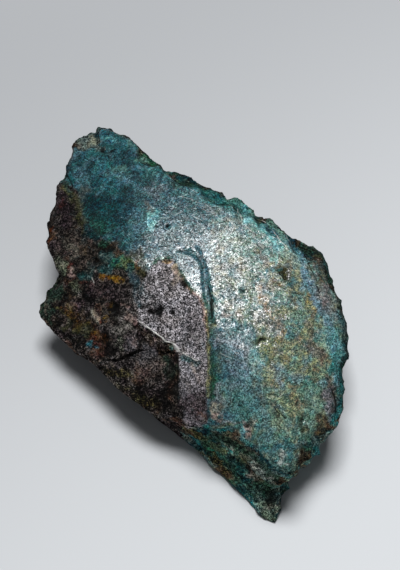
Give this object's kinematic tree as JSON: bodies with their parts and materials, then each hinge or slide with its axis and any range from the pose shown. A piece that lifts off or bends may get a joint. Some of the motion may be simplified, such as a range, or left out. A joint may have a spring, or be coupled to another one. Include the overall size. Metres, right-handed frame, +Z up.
{
  "type": "rough turquoise stone",
  "caption": "Rough slab of turquoise in dark matrix, with a rubbed domed face, chipped crest, broken shoulder and a flat cleft that it lies on.",
  "frame": {"origin": "on the surface that the stone rests on, under the middle of its bounding box", "axes": "+X across the stone's width, +Y along its length towards the narrow tip, +Z up out of the domed face"},
  "size_m": [0.122, 0.166, 0.041],
  "materials": {
    "turquoise_in_matrix": "rubbed satin face, rough broken sides"
  },
  "bodies": {
    "root": {"turquoise_stone": "turquoise_in_matrix"}
  },
  "joints": []
}
